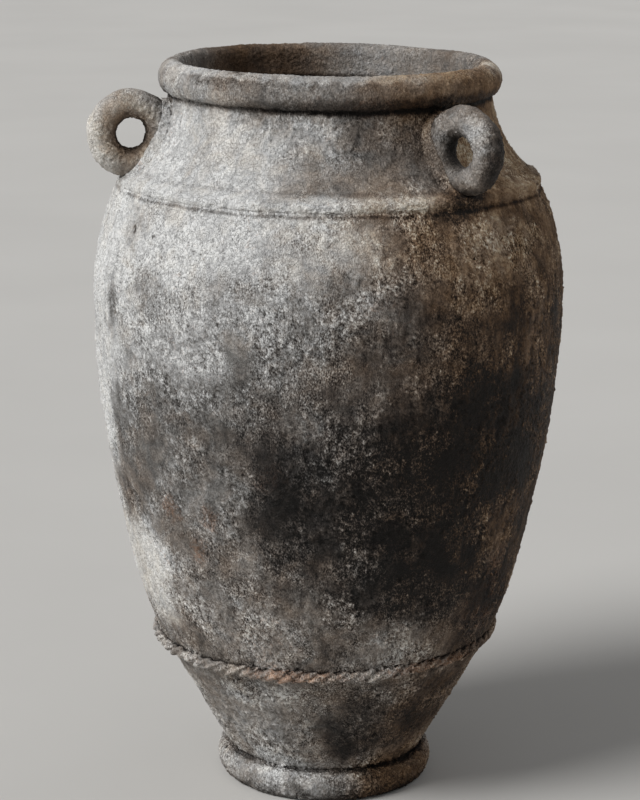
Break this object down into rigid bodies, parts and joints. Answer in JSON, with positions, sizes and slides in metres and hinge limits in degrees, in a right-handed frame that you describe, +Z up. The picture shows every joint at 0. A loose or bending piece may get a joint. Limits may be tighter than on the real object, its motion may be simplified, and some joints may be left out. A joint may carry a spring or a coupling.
{
  "type": "pithos storage jar",
  "caption": "Large coil-built clay storage jar with a tapered foot, rope cordon, swelling belly, plain shoulder cordon, rolled rim and upright ring handles on the neck.",
  "frame": {"origin": "on the floor, under the middle of the foot ring", "axes": "+Z up along the jar's axis; one ring handle stands on -X, the other two about a third of the way round from it"},
  "size_m": [0.6446, 0.636, 1],
  "materials": {
    "wall_clay": "matte",
    "foot_clay": "matte",
    "cordon_clay": "matte",
    "rim_clay": "matte",
    "handle_clay": "matte",
    "luting_clay": "matte"
  },
  "bodies": {
    "root": {"foot_ring": "foot_clay", "floor_disc": "wall_clay", "lower_wall": "wall_clay", "rope_cordon": "cordon_clay", "lower_belly": "wall_clay", "middle_belly": "wall_clay", "shoulder": "wall_clay", "shoulder_cordon": "cordon_clay", "neck": "wall_clay", "rim_collar": "rim_clay", "ring_handle_left": "handle_clay", "handle_lute_left": "luting_clay", "ring_handle_front": "handle_clay", "handle_lute_front": "luting_clay", "ring_handle_back": "handle_clay", "handle_lute_back": "luting_clay"}
  },
  "joints": []
}
